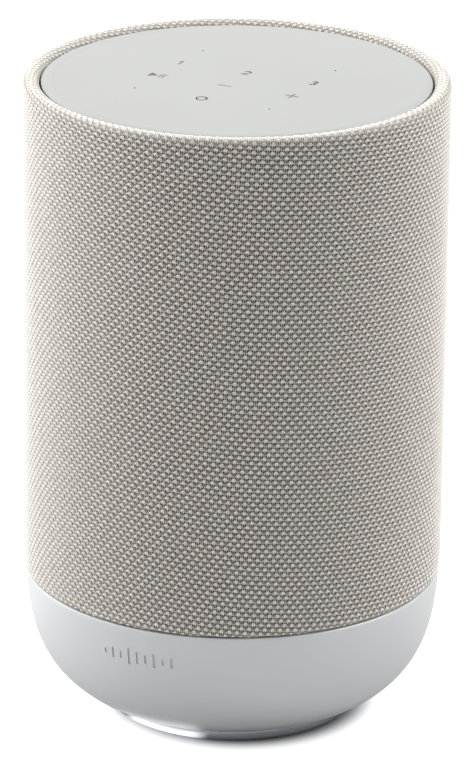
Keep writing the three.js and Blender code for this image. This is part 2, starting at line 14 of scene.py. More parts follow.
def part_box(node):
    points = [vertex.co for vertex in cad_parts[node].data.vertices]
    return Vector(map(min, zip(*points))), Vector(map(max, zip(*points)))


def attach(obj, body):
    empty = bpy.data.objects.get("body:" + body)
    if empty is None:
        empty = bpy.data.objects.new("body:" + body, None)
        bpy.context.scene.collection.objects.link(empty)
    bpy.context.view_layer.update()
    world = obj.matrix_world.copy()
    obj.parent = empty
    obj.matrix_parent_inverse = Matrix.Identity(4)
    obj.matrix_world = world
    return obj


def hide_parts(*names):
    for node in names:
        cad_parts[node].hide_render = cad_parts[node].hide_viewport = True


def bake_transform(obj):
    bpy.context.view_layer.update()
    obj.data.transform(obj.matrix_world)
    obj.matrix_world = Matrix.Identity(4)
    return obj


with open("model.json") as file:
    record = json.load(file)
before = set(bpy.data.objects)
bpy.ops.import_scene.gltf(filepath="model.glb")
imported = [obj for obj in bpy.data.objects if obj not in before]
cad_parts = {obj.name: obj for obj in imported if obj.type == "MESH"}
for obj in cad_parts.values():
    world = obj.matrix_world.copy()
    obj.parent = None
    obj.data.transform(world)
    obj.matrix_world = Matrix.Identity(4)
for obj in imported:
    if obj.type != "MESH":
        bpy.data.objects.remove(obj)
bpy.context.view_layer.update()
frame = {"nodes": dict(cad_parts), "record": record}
scene = bpy.context.scene
MM = 0.001

# Places worked out from the frame
SLEEVE_LOW, SLEEVE_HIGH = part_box("fabric_sleeve")
BOWL_LOW, BOWL_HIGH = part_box("base_bowl")
PANEL_LOW, PANEL_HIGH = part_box("touch_panel")
RING_LOW, RING_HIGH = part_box("foot_ring")
PAD_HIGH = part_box("foot_pad")[1]
TRAY_LOW, TRAY_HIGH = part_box("rear_io_panel")
OUTER_R = SLEEVE_HIGH.x
SEAM_Z = (SLEEVE_LOW.z + BOWL_HIGH.z) / 2
PANEL_TOP = PANEL_HIGH.z
PANEL_R = PANEL_HIGH.x
FOOT_R = RING_HIGH.x
SLOTS = {row["node"]: row["material_slot"] for row in frame["record"]["subparts"]}

# Camera: degrees round to the speaker's right and up, radians of roll, metres to its target, mm of lens
CAMERA_TURN, CAMERA_RISE, CAMERA_ROLL = 26.5, 20.2155, 0.01017
CAMERA_REACH = 1.659
CAMERA_TARGET = Vector((0.32 * MM, 0.16 * MM, PANEL_TOP - 106.72 * MM))
SENSOR_WIDTH, FOCAL_LENGTH = 36, 232.37


def make_camera():
    azimuth, elevation = math.radians(CAMERA_TURN), math.radians(CAMERA_RISE)
    back = Vector((
        math.sin(azimuth) * math.cos(elevation),
        -math.cos(azimuth) * math.cos(elevation),
        math.sin(elevation),
    ))
    data = bpy.data.cameras.new("camera")
    data.sensor_width = SENSOR_WIDTH
    data.lens = FOCAL_LENGTH
    camera = bpy.data.objects.new("camera", data)
    scene.collection.objects.link(camera)
    camera.rotation_mode = "QUATERNION"
    camera.location = CAMERA_TARGET + back * CAMERA_REACH
    camera.rotation_quaternion = (-back).to_track_quat("-Z", "Y") @ Quaternion((0, 0, 1), CAMERA_ROLL)
    scene.camera = camera


# Mesh helpers
def plain_mesh(name, verts, faces):
    mesh = bpy.data.meshes.new(name)
    mesh.from_pydata([tuple(v) for v in verts], [], faces)
    return mesh


def finish_mesh(name, mesh, material, sharp=35):
    """An object of a mesh in one material, smooth but for edges sharper than an angle in degrees."""
    mesh.materials.clear()
    mesh.materials.append(material)
    mesh.polygons.foreach_set("use_smooth", [True] * len(mesh.polygons))
    mesh.set_sharp_from_angle(angle=math.radians(sharp))
    mesh.update()
    piece = bpy.data.objects.new(name, mesh)
    scene.collection.objects.link(piece)
    return piece


def stand_for(piece, node, body="speaker"):
    """Puts a piece in a CAD node's place on its body, hiding the node."""
    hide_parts(node)
    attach(piece, body)


def fitted(name, mesh, material, node, body="speaker", sharp=35):
    stand_for(finish_mesh(name, mesh, material, sharp), node, body)


def filleted(corners, steps=5):
    """An outline from (x, y, fillet radius) corners, each rounded by an arc. A fillet of 0 stays sharp."""
    points = []
    count = len(corners)
    for i, (x, y, fillet) in enumerate(corners):
        here = Vector((x, y))
        if fillet <= 0:
            points.append((x, y))
            continue
        before = (Vector(corners[i - 1][:2]) - here).normalized()
        after = (Vector(corners[(i + 1) % count][:2]) - here).normalized()
        half = before.angle(after) / 2
        reach = fillet / math.tan(half)
        centre = here + (before + after).normalized() * (fillet / math.sin(half))
        start, end = here + before * reach - centre, here + after * reach - centre
        turn = math.pi - 2 * half
        sign = 1 if start.x * end.y - start.y * end.x > 0 else -1
        for k in range(steps + 1):
            a = sign * turn * k / steps
            points.append((
                centre.x + start.x * math.cos(a) - start.y * math.sin(a),
                centre.y + start.x * math.sin(a) + start.y * math.cos(a),
            ))
    return points


def oriented(outline):
    """The outline running anticlockwise, so that its surface of revolution faces out."""
    area = sum(a[0] * b[1] - b[0] * a[1] for a, b in zip(outline, outline[1:] + outline[:1]))
    return outline if area > 0 else outline[::-1]


def turned_mesh(outline, segments, closed=True):
    """Points and faces of an outline of (radius, height) turned about Z. A radius of 0 is one point."""
    outline = oriented(outline) if closed else outline
    verts, rings = [], []
    for r, z in outline:
        if r < 1e-9:
            rings.append([len(verts)] * segments)
            verts.append((0, 0, z))
            continue
        rings.append(list(range(len(verts), len(verts) + segments)))
        for k in range(segments):
            a = 2 * math.pi * k / segments
            verts.append((r * math.cos(a), r * math.sin(a), z))
    faces = []
    above = rings[1:] + rings[:1] if closed else rings[1:]
    for low, high in zip(rings, above):
        for k in range(segments):
            n = (k + 1) % segments
            face = list(dict.fromkeys((low[k], low[n], high[n], high[k])))
            if len(face) > 2:
                faces.append(face)
    return verts, faces


def stacked_mesh(sections):
    """Points and faces of a solid through (x, z) outlines of equal count, each at its own y."""
    verts = []
    for outline, y in sections:
        verts += [(x, y, z) for x, z in oriented(outline)]
    count = len(sections[0][0])
    last = len(verts) - count
    faces = [list(range(count)), list(range(last + count - 1, last - 1, -1))]
    for low in range(0, last, count):
        for k in range(count):
            n = (k + 1) % count
            faces.append([low + k, low + k + count, low + n + count, low + n])
    return verts, faces


def extruded_mesh(outline, y_near, y_far):
    """Points and faces of an (x, z) outline pushed along Y between two places."""
    return stacked_mesh([(outline, y_near), (outline, y_far)])


def lathe_back(outline, x, z, segments):
    """Points and faces of a (radius, y) outline turned about the line along Y through x, z."""
    verts, faces = turned_mesh(outline, segments)
    return [(x + a, c, z - b) for a, b, c in verts], faces


def mesh_parts(mesh):
    """A mesh as points and faces, for another cut."""
    return [tuple(v.co) for v in mesh.vertices], [list(p.vertices) for p in mesh.polygons]


def raw_object(name, verts, faces):
    made = bpy.data.objects.new(name, plain_mesh(name, verts, faces))
    scene.collection.objects.link(made)
    return made


def prism_faces(count):
    """The faces of a solid between two outlines of count points, the lower and then the upper."""
    around = [(k, (k + 1) % count) for k in range(count)]
    sides = [[k, n, n + count, k + count] for k, n in around]
    return [list(range(count - 1, -1, -1)), list(range(count, 2 * count)), *sides]


def boolean(name, base, tools, operation="DIFFERENCE"):
    """base with each (points, faces) tool cut from it or joined to it, as one new mesh."""
    target = raw_object(name + "_base", *base)
    helpers = []
    for tool in tools:
        helper = raw_object(name + "_tool", *tool)
        change = target.modifiers.new("cut", "BOOLEAN")
        change.operation, change.solver, change.object = operation, "EXACT", helper
        helpers.append(helper)
    depsgraph = bpy.context.evaluated_depsgraph_get()
    mesh = bpy.data.meshes.new_from_object(target.evaluated_get(depsgraph))
    for used in [target, *helpers]:
        old = used.data
        bpy.data.objects.remove(used)
        bpy.data.meshes.remove(old)
    mesh.name = name
    return mesh


def rounded_box(half_width, half_height, corner, x, z, steps=6):
    """The (x, z) outline of a rounded rectangle."""
    w, h = half_width, half_height
    corners = [(-w, -h, corner), (w, -h, corner), (w, h, corner), (-w, h, corner)]
    return [(x + a, z + b) for a, b in filleted(corners, steps)]


def arc_points(x, y, r, start, end, steps):
    """Points along an arc between two angles in degrees."""
    angles = [math.radians(start + (end - start) * k / steps) for k in range(steps + 1)]
    return [(x + r * math.cos(a), y + r * math.sin(a)) for a in angles]


def circle(r, x, z, steps=32):
    return arc_points(x, z, r, 0, 360, steps)[:-1]


# Material helpers: arithmetic on shader sockets
class Field:
    """A number that varies over a surface: a socket in a node tree, with ordinary arithmetic."""

    def __init__(self, tree, socket):
        self.tree, self.socket = tree, socket

    def math(self, operation, *others):
        node = self.tree.nodes.new("ShaderNodeMath")
        node.operation = operation
        for slot, value in zip(node.inputs, [self, *others]):
            if isinstance(value, Field):
                self.tree.links.new(value.socket, slot)
            else:
                slot.default_value = value
        return Field(self.tree, node.outputs[0])

    def __add__(self, other):
        return self.math("ADD", other)

    def __sub__(self, other):
        return self.math("SUBTRACT", other)

    def __mul__(self, other):
        return self.math("MULTIPLY", other)

    def __truediv__(self, other):
        return self.math("DIVIDE", other)

    def top(self, other):
        return self.math("MAXIMUM", other)

    def wrap(self):
        """The distance past the nearest whole number, from -0.5 to 0.5."""
        return self.math("ADD", 0.5).math("FRACT").math("SUBTRACT", 0.5)

    def size(self):
        return self.math("ABSOLUTE")

    def square(self):
        return self.math("MULTIPLY", self)

    def ramp(self, low, high):
        """A smooth rise from 0 at low to 1 at high, or a fall where high is the lower."""
        node = self.tree.nodes.new("ShaderNodeMapRange")
        node.interpolation_type = "SMOOTHSTEP"
        self.tree.links.new(self.socket, node.inputs["Value"])
        ends = (low, high, 0, 1) if low < high else (high, low, 1, 0)
        for key, end in zip(("From Min", "From Max", "To Min", "To Max"), ends):
            node.inputs[key].default_value = end
        return Field(self.tree, node.outputs["Result"])


def shader(name, color, roughness, metallic=0.0, **uniform):
    """A new material, its node tree and its Principled shader, with what is the same all over."""
    material = bpy.data.materials.new(name)
    material.use_nodes = True
    tree = material.node_tree
    principled = tree.nodes["Principled BSDF"]
    principled.inputs["Base Color"].default_value = (*color, 1)
    principled.inputs["Roughness"].default_value = roughness
    principled.inputs["Metallic"].default_value = metallic
    for key, value in uniform.items():
        principled.inputs[key.replace("_", " ")].default_value = value
    return material, tree, principled


def place(tree, scale=(1, 1, 1)):
    """The object's own coordinates, scaled."""
    coordinates = tree.nodes.new("ShaderNodeTexCoord")
    mapping = tree.nodes.new("ShaderNodeMapping")
    mapping.inputs["Scale"].default_value = scale
    tree.links.new(coordinates.outputs["Object"], mapping.inputs["Vector"])
    return mapping.outputs["Vector"]


def noise(tree, scale, detail, stretch=(1, 1, 1), vector=None):
    """Fractal noise over the surface, about 0.5 on average."""
    node = tree.nodes.new("ShaderNodeTexNoise")
    node.inputs["Scale"].default_value = scale
    node.inputs["Detail"].default_value = detail
    tree.links.new(vector or place(tree, stretch), node.inputs["Vector"])
    return Field(tree, node.outputs["Fac"])


def components(tree, vector):
    """The X, Y and Z of a vector, as fields."""
    parts = tree.nodes.new("ShaderNodeSeparateXYZ")
    tree.links.new(vector, parts.inputs["Vector"])
    return [Field(tree, parts.outputs[axis]) for axis in "XYZ"]


def blend_colours(tree, amount, first, second):
    """A mix of two colours, or of a colour and a socket, by a field."""
    node = tree.nodes.new("ShaderNodeMix")
    node.data_type = "RGBA"
    tree.links.new(amount.socket, node.inputs[0])
    for slot, value in ((node.inputs[6], first), (node.inputs[7], second)):
        if isinstance(value, tuple):
            slot.default_value = (*value, 1)
        else:
            tree.links.new(value, slot)
    return node.outputs[2]


def bump(tree, principled, height, distance, strength=1.0):
    node = tree.nodes.new("ShaderNodeBump")
    node.inputs["Distance"].default_value = distance
    node.inputs["Strength"].default_value = strength
    tree.links.new(height.socket, node.inputs["Height"])
    tree.links.new(node.outputs["Normal"], principled.inputs["Normal"])


def drive(tree, principled, name, field):
    tree.links.new(field.socket, principled.inputs[name])


def paint(tree, principled, colour):
    tree.links.new(colour, principled.inputs["Base Color"])


def moulded(name, color, roughness, grain=0.00004, metallic=0.0, spread=0.12, scale=2500, **uniform):
    """Moulded or painted stuff: a fine grain in its relief and a slow drift in its tone and gloss."""
    material, tree, principled = shader(name, color, roughness, metallic, **uniform)
    drift = noise(tree, 38, 3)
    darker = tuple(c * (1 - spread) for c in color)
    lighter = tuple(min(1, c * (1 + spread)) for c in color)
    paint(tree, principled, blend_colours(tree, drift, darker, lighter))
    drive(tree, principled, "Roughness", drift * 0.12 + (roughness - 0.06))
    bump(tree, principled, noise(tree, scale, 2), grain)
    return material


def brushed(name, color, roughness, stretch):
    """Metal with fine drawn lines, across the axis that the noise is squeezed along."""
    material, tree, principled = shader(name, color, roughness, 1.0)
    lines = noise(tree, 900, 2, stretch)
    paint(tree, principled, blend_colours(tree, lines, tuple(c * 0.86 for c in color), color))
    drive(tree, principled, "Roughness", lines * 0.16 + (roughness - 0.08))
    bump(tree, principled, lines, 0.00001)
    return material


def turned_metal():
    """Metal polished on a lathe: fine lines run round it, so highlights spread up and down."""
    material, tree, principled = shader(
        "polished_ring", (0.80, 0.82, 0.85), 0.16, 1.0, Anisotropic=0.3, Anisotropic_Rotation=0.25,
    )
    tangent = tree.nodes.new("ShaderNodeTangent")
    tangent.direction_type, tangent.axis = "RADIAL", "Z"
    tree.links.new(tangent.outputs["Tangent"], principled.inputs["Tangent"])
    lines = noise(tree, 30, 3, (1, 1, 90))
    paint(tree, principled, blend_colours(tree, lines, (0.62, 0.65, 0.69), (0.72, 0.75, 0.79)))
    drive(tree, principled, "Roughness", lines * 0.06 + 0.10)
    bump(tree, principled, lines, 0.000004)
    return material


# Outline of the bowl and of the cloth's lowest part: a cubic curve that ends at the foot's edge. Its first
# three control points are (radius past OUTER_R, height above the seam) in mm
OUTLINE = [(0.0, 14.95), (0.0, -13.58), (-0.38, -35.66)]


def outline_point(t):
    """A point (radius, height) of the outline, from 0 above the seam to 1 at the foot."""
    foot = (FOOT_R + 0.2 * MM, BOWL_LOW.z)
    controls = [(OUTER_R + r * MM, SEAM_Z + z * MM) for r, z in OUTLINE] + [foot]
    weights = [(1 - t) ** 3, 3 * t * (1 - t) ** 2, 3 * t * t * (1 - t), t**3]
    return tuple(sum(w * c[i] for w, c in zip(weights, controls)) for i in (0, 1))


def outline_place(z):
    """Where on the curve, from 0 to 1, the outline passes a height."""
    low, high = 0.0, 1.0
    for _ in range(40):
        middle = (low + high) / 2
        if outline_point(middle)[1] > z:
            low = middle
        else:
            high = middle
    return (low + high) / 2


def outline_below(z, steps):
    """The outline's points from a height down to the foot."""
    first = outline_place(z)
    return [outline_point(first + (1 - first) * k / steps) for k in range(steps + 1)]


def bowl_radius(z):
    return outline_point(outline_place(z))[0]


# Weave: knots in a quincunx, each a pair of pale threads with pits below its left and right; the pits'
# darkness is partly the cloth's holes and partly painted shade
CELLS_AROUND = 157
ROWS_OF_SKEW = 11  # rows that the weave climbs in one turn round the speaker
LOW_PITCH, HIGH_PITCH = 3.25 * MM, 2.95 * MM  # height of a row of knots at the hem and at the lip
POINTS_A_CELL = 4
LEAN = 0.045  # slope of the columns of knots
FAN_FROM = -63.5  # direction in degrees that the columns spread from at the lip and draw towards at the hem
FAN_LOW, FAN_CHANGE = 2.2, 4.3  # cells that they shift by at the hem, and the change up to the lip
UNEVEN, RIM_RELIEF = 0.02 * MM, 0.45  # spread of the knots' heights, and their share on the rim
CLOTH_THICK, LINING_STEPS = 1.3 * MM, 28
LINING_ROWS = 60  # rows that the weave's coordinates count along the lining
OUTSIDE_BAKE, LINING_BAKE = (0.002, 0.94), (0.95, 0.045)  # start and height of each in the bake's square
KNOT_COOL, KNOT_WARM = (0.555, 0.56, 0.585), (0.645, 0.638, 0.625)
THREAD_DARK, THREAD_LIGHT = (0.335, 0.285, 0.215), (0.40, 0.345, 0.265)
# Dark tones of the lower threads, the notches and the pits: partly the cloth's dark holes, partly painted
# shade in these recesses
UNDER_THREAD_AND_SHADE, NOTCH_GAP_AND_SHADE, PIT_HOLE_AND_SHADE = (0.08, 0.068, 0.054), (0.06, 0.052, 0.044), (0.022, 0.020, 0.019)
# Painted light on the rim: up there the weave is mixed towards this flat tone, standing in for the top
# light that washes it out
RIM_PAINTED_LIGHT = (0.37, 0.36, 0.335)

# The cloth's line: it stands a little outside its CAD solid, and rolls over a rounded rim
CLOTH_OUT = 0.05 * MM
CREST_R, CREST_Z = 68.1 * MM, SLEEVE_HIGH.z - 0.05 * MM
SHOULDER_DROP, LIP_DROP, TUCK = 2.1 * MM, 2.0 * MM, 2 * MM
SHOULDER_POWER = 0.9  # under 1, the outer round is a little squarer than a quarter ellipse
LIP_R = PANEL_R + 0.65 * MM


def ellipse(across, up, half_width, half_height):
    """The distance from the middle of an ellipse, which is 1 on its edge."""
    return ((across / half_width).square() + (up / half_height).square()).math("SQRT")


def knot_fields(a, b):
    """Knot, notch and pit masks about the knots of one lattice, in cells across and rows up."""
    x, y = a.wrap(), b.wrap()
    body = ellipse(x, y - 0.03, 0.27, 0.19)
    legs = ellipse(x.size() - 0.13, y + 0.10, 0.075, 0.20)
    wings = ellipse(x.size() - 0.36, (b + 0.06).wrap(), 0.13, 0.10)
    knot = body.ramp(1.3, 0.6).top(legs.ramp(1.25, 0.6)).top(wings.ramp(1.3, 0.4) * 0.5)
    line = ellipse(x, (b + 0.32).wrap(), 0.055, 0.27)
    foot = ellipse(x, (b + 0.47).wrap(), 0.085, 0.13)
    notch = (line.ramp(1.2, 0.55) * 0.8).top(foot.ramp(1.3, 0.4))
    side, down = x.size() - 0.245, (b + 0.315).wrap()
    along = side * 0.52 + down * 0.85
    across = side * 0.85 - down * 0.52
    pit = ellipse(along, across, 0.17, 0.065).ramp(1.25, 0.6)
    return knot, notch, pit


def ridge(across):
    """A thread that lies along every line where a field is a whole number and a half."""
    return (across + 0.5).wrap().size().ramp(0.15, 0.06)


def fabric_material():
    material, tree, principled = shader(
        "woven_fabric", (0.6, 0.6, 0.6), 0.85,
        Sheen_Weight=1.0, Sheen_Roughness=0.5, Sheen_Tint=(1, 0.95, 0.85, 1), Specular_IOR_Level=0.2,
    )
    uv = tree.nodes.new("ShaderNodeUVMap")
    uv.uv_map = "Weave"
    weave_at = uv.outputs["UV"]
    a, b, _ = components(tree, weave_at)
    first, second = knot_fields(a, b), knot_fields(a + 0.5, b + 0.5)
    knot, notch, pit = (one.top(other) for one, other in zip(first, second))
    thread = ridge(a + b).top(ridge(a - b))
    tint = noise(tree, 1.3, 1, vector=weave_at)
    slow = noise(tree, 0.5, 2, vector=weave_at)
    pale = blend_colours(tree, tint.ramp(0.35, 0.65), KNOT_COOL, KNOT_WARM)
    brown = blend_colours(tree, slow.ramp(0.35, 0.65), THREAD_DARK, THREAD_LIGHT)
    # Lower threads, notches and pits darkened: partly the holes' own colour, partly painted shade in them
    under = blend_colours(tree, thread * 0.5 + 0.5, UNDER_THREAD_AND_SHADE, brown)
    cloth = blend_colours(tree, knot, under, pale)
    lined = blend_colours(tree, notch * 0.9, cloth, NOTCH_GAP_AND_SHADE)
    # Painted light: up over the rim the weave is mixed towards a flat tone and its dark pits fade, as if
    # washed out by light from above
    height = components(tree, place(tree))[2]
    rim = height.ramp(PANEL_TOP - 2.2 * MM, PANEL_TOP + 0.1 * MM)
    pitted = blend_colours(tree, pit * (rim * -0.35 + 1), lined, PIT_HOLE_AND_SHADE)
    paint(tree, principled, blend_colours(tree, rim * 0.35, pitted, RIM_PAINTED_LIGHT))
    strands = noise(tree, 6, 2, vector=weave_at)
    relief = knot * 0.6 + thread * 0.35 - notch * 0.6 - pit * 0.8 + strands * 0.2
    bump(tree, principled, relief, 0.00030, 0.8)
    return material


def sleeve_outline():
    """The cloth's (radius, height) line: up from the seam, over the rim and down beside the panel."""
    side = OUTER_R + CLOTH_OUT
    points = [(OUTER_R - 1.5 * MM, SEAM_Z + 0.45 * MM), (OUTER_R - 0.75 * MM, SEAM_Z + 0.2 * MM)]
    for z in np.linspace(SEAM_Z + 0.75 * MM, SEAM_Z + 14.9 * MM, 10):
        points.append((bowl_radius(z) + CLOTH_OUT, z))
    points.append((side, CREST_Z - 60 * MM))
    for angle in np.linspace(0, 90, 12):
        c, s = (turn(math.radians(angle)) ** SHOULDER_POWER for turn in (math.cos, math.sin))
        points.append((CREST_R + (side - CREST_R) * c, CREST_Z - SHOULDER_DROP + SHOULDER_DROP * s))
    for angle in np.linspace(100, 180, 10):
        c, s = math.cos(math.radians(angle)), math.sin(math.radians(angle))
        points.append((CREST_R + (CREST_R - LIP_R) * c, CREST_Z - LIP_DROP + LIP_DROP * s))
    points.append((LIP_R, CREST_Z - LIP_DROP - TUCK))
    return points


class ClothLine:
    """The cloth's line, by the distance along it from the hem."""

    def __init__(self, outline, count=400):
        line = np.array(outline)
        steps = np.r_[0, np.cumsum(np.linalg.norm(np.diff(line, axis=0), axis=1))]
        self.length = float(steps[-1])
        self.steps = np.linspace(0, self.length, count + 1)
        self.line = np.stack([np.interp(self.steps, steps, line[:, i]) for i in (0, 1)], 1)
        self.tangent = np.gradient(self.line, axis=0)
        self.tangent /= np.linalg.norm(self.tangent, axis=1)[:, None]

    def at(self, distance):
        """The radius and the height at a distance."""
        return [np.interp(distance, self.steps, self.line[:, i]) for i in (0, 1)]

    def outwards(self, distance):
        """The radius and the height of the direction out of the cloth at a distance."""
        across, up = (np.interp(distance, self.steps, self.tangent[:, i]) for i in (0, 1))
        return up, -across


# The weave's points, four across and four up a cell: (height, shift towards the knot, shift up) in mm
CROWN, FLANK, CROSSING = (0.34, 0, 0.06), (0.0, 0, 0), (-0.3, 0, 0)
SHOULDER, PIT_POINT, NOTCH = (0.10, 0, 0), (-0.85, 0.02, -0.15), (-0.3, 0, 0)


def weave_pattern():
    """(height, shift around, shift up) in metres for the points of one cell, by row and column."""
    pattern = np.zeros((POINTS_A_CELL, POINTS_A_CELL, 3))
    kinds = ((CROWN, FLANK, CROSSING, FLANK), (SHOULDER, PIT_POINT, NOTCH, PIT_POINT))
    for row in range(POINTS_A_CELL):
        for column in range(POINTS_A_CELL):
            across = (column + (0 if row < 2 else 2)) % 4
            height, inward, up = kinds[row % 2][across]
            pattern[row, column] = (height, inward * (0, 1, 0, -1)[across], up)
    return pattern * MM


def weave_rows(length):
    """Arc length of each quarter row of the weave, from the hem to well above the lip."""
    at, place_of = [0.0], 0.0
    while place_of < length * 1.35:
        share = min(max(place_of / length, 0), 1)
        place_of += (LOW_PITCH + (HIGH_PITCH - LOW_PITCH) * share) / POINTS_A_CELL
        at.append(place_of)
    return np.array(at)


def woven_points(cloth):
    """By row and column: which of the weave's points are on the cloth, places, angles, two coordinates."""
    around = CELLS_AROUND * POINTS_A_CELL
    ladder = weave_rows(cloth.length)
    column = np.arange(around)[None]
    row = np.arange(len(ladder))[:, None]
    turn = column / around
    climbed = row - POINTS_A_CELL * ROWS_OF_SKEW * turn
    raw = np.interp(climbed, np.arange(len(ladder)), ladder)
    raw = np.where(climbed < 0, climbed * LOW_PITCH / POINTS_A_CELL, raw)
    inside = (raw > -LOW_PITCH / POINTS_A_CELL) & (raw < cloth.length + HIGH_PITCH / POINTS_A_CELL)
    fade = np.clip(np.minimum(raw, cloth.length - raw) / (1.2 * LOW_PITCH), 0, 1)
    relief, shift, rise = np.moveaxis(weave_pattern()[row % POINTS_A_CELL, column % POINTS_A_CELL], 2, 0)
    relief = relief + np.random.default_rng(7).normal(0, UNEVEN, raw.shape)
    on_line = np.clip(raw, 0, cloth.length)
    height = cloth.at(on_line)[1]
    relief *= np.interp(height, [PANEL_TOP - 3 * MM, PANEL_TOP + 0.4 * MM], [1, RIM_RELIEF])
    distance = np.clip(raw + rise * fade, 0, cloth.length)
    share = on_line / cloth.length
    angle = 2 * math.pi * turn + LEAN * distance / OUTER_R
    fan = (FAN_LOW - FAN_CHANGE * share) / CELLS_AROUND * 2 * math.pi
    angle = angle - fan * np.sin(angle - math.radians(FAN_FROM)) + shift * fade / OUTER_R
    (radius, height), (out_r, out_z) = cloth.at(distance), cloth.outwards(distance)
    radius, height = radius + out_r * relief * fade, height + out_z * relief * fade
    places = np.stack([radius * np.cos(angle), radius * np.sin(angle), height], 2)
    across = column / POINTS_A_CELL + shift * fade / (2 * math.pi * OUTER_R / CELLS_AROUND)
    up = row / POINTS_A_CELL + rise * fade / LOW_PITCH
    start, size = OUTSIDE_BAKE
    bake_at = np.stack([np.broadcast_to(turn, raw.shape), share * size + start], 2)
    return inside, places, angle, np.stack([across, up], 2), bake_at


def woven_faces(number):
    """The faces between the weave's numbered points. Past the last column, the rows have climbed."""
    ahead = np.roll(number, -1, axis=1)
    climb = POINTS_A_CELL * ROWS_OF_SKEW
    ahead[:, -1] = np.r_[np.full(climb, -1), number[:-climb, 0]]
    quads = np.stack([number[:-1], ahead[:-1], ahead[1:], number[1:]], 2).reshape(-1, 4)
    on_cloth = (quads >= 0).sum(1)
    three = [face[face >= 0].tolist() for face in quads[on_cloth == 3]]
    return three + quads[on_cloth == 4].tolist()


def cloth_lining(cloth, low_angle, high_angle):
    """Rings of points inside the cloth, from its lip to its hem, with weave and bake coordinates."""
    around = len(low_angle)
    column = np.arange(around)
    rings, weave_at, bake_at = [], [], []
    start, size = LINING_BAKE
    for share in np.linspace(1, 0, LINING_STEPS + 1):
        distance = share * cloth.length
        (radius, height), (out_r, out_z) = cloth.at(distance), cloth.outwards(distance)
        r, z = radius - CLOTH_THICK * out_r, height - CLOTH_THICK * out_z
        angle = share * high_angle + (1 - share) * low_angle
        rings.append(np.stack([r * np.cos(angle), r * np.sin(angle), np.full(around, z)], 1))
        weave_at.append(np.stack([column / POINTS_A_CELL, np.full(around, share * LINING_ROWS)], 1))
        bake_at.append(np.stack([column / around, np.full(around, start + size * (1 - share))], 1))
    return rings, weave_at, bake_at


def add_coordinates(mesh, name, where, crossing, period, climb):
    """A layer of the points' coordinates, which run on past the seam on the faces that cross it."""
    index = np.empty(len(mesh.loops), dtype=np.int32)
    mesh.loops.foreach_get("vertex_index", index)
    uv = where[index]
    beyond = crossing & (uv[:, 0] < period * 0.5)
    uv[beyond] += (period, climb)
    layer = mesh.uv_layers.new(name=name)
    layer.data.foreach_set("uv", uv.astype(np.float32).ravel())


def woven_cover(material):
    """The cloth sleeve: a shell whose outside follows every knot."""
    cloth = ClothLine(sleeve_outline())
    inside, places, angle, weave_at, bake_at = woven_points(cloth)
    number = np.full(inside.shape, -1)
    number[inside] = np.arange(inside.sum())
    low = np.array([column[np.argmax(column >= 0)] for column in number.T])
    high = number.max(axis=0)
    outside_angle = angle[inside]
    rings, lining_weave, lining_bake = cloth_lining(cloth, outside_angle[low], outside_angle[high])
    points = np.concatenate([places[inside], *rings])
    weave_at = np.concatenate([weave_at[inside], *lining_weave])
    bake_at = np.concatenate([bake_at[inside], *lining_bake])

    faces = woven_faces(number)
    loops = [high, *np.arange(inside.sum(), len(points)).reshape(len(rings), -1), low]
    for first, second in zip(loops, loops[1:]):
        faces += np.stack([first, np.roll(first, -1), np.roll(second, -1), second], 1).tolist()

    mesh = bpy.data.meshes.new("woven_cover")
    mesh.from_pydata(points, [], faces)
    crossing = np.concatenate([np.full(len(face), max(bake_at[face, 0]) > 0.9) for face in faces])
    add_coordinates(mesh, "OFBake", bake_at, crossing, 1.0, 0)
    add_coordinates(mesh, "Weave", weave_at, crossing, float(CELLS_AROUND), ROWS_OF_SKEW)
    piece = finish_mesh("woven_cover", mesh, material, 180)
    stand_for(piece, "fabric_sleeve")


# Panel on top
PANEL_DIP = 0.1 * MM  # the panel's middle lies this far below its rounded shoulder
KEY_X = MIC_X = 24.4 * MM
MIC_BACK, MIC_FRONT = 23.4 * MM, -25.4 * MM
MIC_HOLE_R = 0.45 * MM
MARK_STROKE, MARK_THICK, MARK_LIFT = 0.46 * MM, 0.03 * MM, 0.004 * MM


def panel_material():
    material, tree, principled = shader(
        "panel_plastic", (0.338, 0.342, 0.333), 0.42, Specular_IOR_Level=0.45,
    )
    drift = noise(tree, 22, 2)
    paint(tree, principled, blend_colours(tree, drift, (0.331, 0.335, 0.326), (0.345, 0.349, 0.34)))
    drive(tree, principled, "Roughness", drift * 0.06 + 0.40)
    bump(tree, principled, noise(tree, 5200, 2), 0.000012)
    return material


def top_panel(material):
    """The touch panel, with its rounded shoulder and microphone holes. Gives the height of its face."""
    top, low, face = PANEL_TOP, PANEL_LOW.z, PANEL_TOP - PANEL_DIP
    outline = filleted([
        (0, low, 0), (PANEL_R, low, 0.3 * MM), (PANEL_R, top - 0.75 * MM, 0.4 * MM),
        (PANEL_R - 1.5 * MM, top - 0.1 * MM, 1.8 * MM), (PANEL_R - 3.2 * MM, top, 2 * MM),
        (PANEL_R - 4.4 * MM, face, 2 * MM), (0, face, 0),
    ])
    drill = [(0, low - MM), (MIC_HOLE_R, low - MM), (MIC_HOLE_R, top + MM), (0, top + MM)]
    verts, faces = turned_mesh(drill, 20)
    holes = [
        ([(px + x, py + y, pz) for px, py, pz in verts], faces)
        for x in (-MIC_X, MIC_X) for y in (MIC_BACK, MIC_FRONT)
    ]
    mesh = boolean("panel", turned_mesh(outline, 192), holes)
    fitted("panel", mesh, material, "touch_panel")
    return face


def plate_mesh(outline, low):
    """Points and faces of a printed shape, from its anticlockwise (x, y) outline."""
    verts = [(x, y, z) for z in (low, low + MARK_THICK) for x, y in outline]
    return verts, prism_faces(len(outline))


def stroke_meshes(points, low):
    """A printed line through (x, y) points: a plate with round ends for each stretch."""
    r = MARK_STROKE / 2
    plates = []
    for start, end in zip(points, points[1:]):
        along = Vector(end) - Vector(start)
        heading = math.degrees(math.atan2(along.y, along.x))
        outline = arc_points(*end, r, heading - 90, heading + 90, 6)
        outline += arc_points(*start, r, heading + 90, heading + 270, 6)
        plates.append(plate_mesh(outline, low))
    return plates


